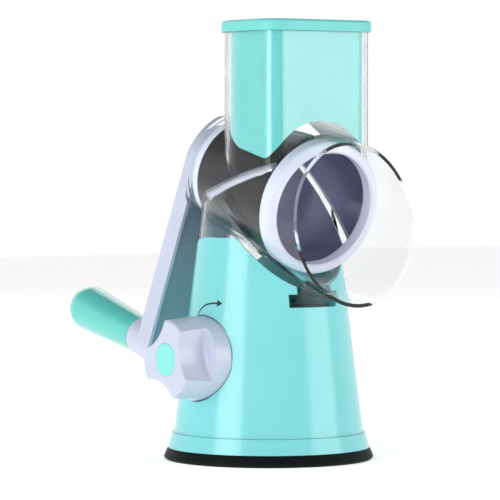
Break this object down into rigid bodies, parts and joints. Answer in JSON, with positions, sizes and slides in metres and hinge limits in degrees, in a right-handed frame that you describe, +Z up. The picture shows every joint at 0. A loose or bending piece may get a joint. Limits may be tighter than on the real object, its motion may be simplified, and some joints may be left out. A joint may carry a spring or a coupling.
{
  "type": "rotary drum grater",
  "caption": "Hand-cranked rotary drum grater with a clear housing, a pusher, a removable slicing drum and a suction base with a three-lobed lock knob.",
  "frame": {"origin": "middle of the suction cup's footprint, on the table", "axes": "+Z up; the outlet mouth faces -Y, the crank is at +Y, the suction lock is at -X"},
  "size_m": [0.1386, 0.2541, 0.262],
  "materials": {
    "shell": "glossy",
    "inlay": "glossy",
    "pusher": "glossy",
    "grip": "glossy",
    "pale": "glossy",
    "ring": "glossy",
    "clear": "clear moulded plastic",
    "sheet": "rolled",
    "steel": "turned",
    "rubber": "matte",
    "inner": "matte"
  },
  "bodies": {
    "base": {"suction_cup": "rubber", "base_pan": "shell", "pan_screws": "steel", "base_body": "shell", "drum_housing": "clear", "pull_stud": "steel", "lift_yoke": "inner"},
    "lock": {"lock_knob": "pale", "knob_screw": "steel", "knob_cap": "inlay", "cam_shaft": "steel"},
    "crank": {"crank_arm": "pale", "crank_arm_plate": "inner", "crank_shaft": "steel", "shaft_screw": "steel", "grip_pin": "steel"},
    "grip": {"crank_grip": "grip"},
    "drum": {"drum_sleeve": "sheet", "drum_front_ring": "ring", "drum_rear_cap": "ring"},
    "pusher": {"pusher_body": "pusher", "pusher_lid": "pusher"}
  },
  "joints": [
    {"name": "crank_spin", "type": "hinge", "parent": "base", "child": "crank", "pos_m": [0, 0, 0.1646], "axis": [0, -0.9699, -0.2436], "continuous": true},
    {"name": "grip_spin", "type": "hinge", "parent": "crank", "child": "grip", "pos_m": [-0.02775, 0.10553, 0.07285], "axis": [0, -0.9699, -0.2436], "continuous": true},
    {"name": "drum_removal", "type": "slide", "parent": "crank", "child": "drum", "axis": [0, -0.9699, -0.2436], "range_m": [0, 0.12]},
    {"name": "pusher_lift", "type": "slide", "parent": "base", "child": "pusher", "axis": [0, 0, 1], "range_m": [0, 0.085]},
    {"name": "knob_turn", "type": "hinge", "parent": "base", "child": "lock", "pos_m": [-0.06, 0, 0.0622], "axis": [1, 0, 0], "range_deg": [0, 90]}
  ]
}
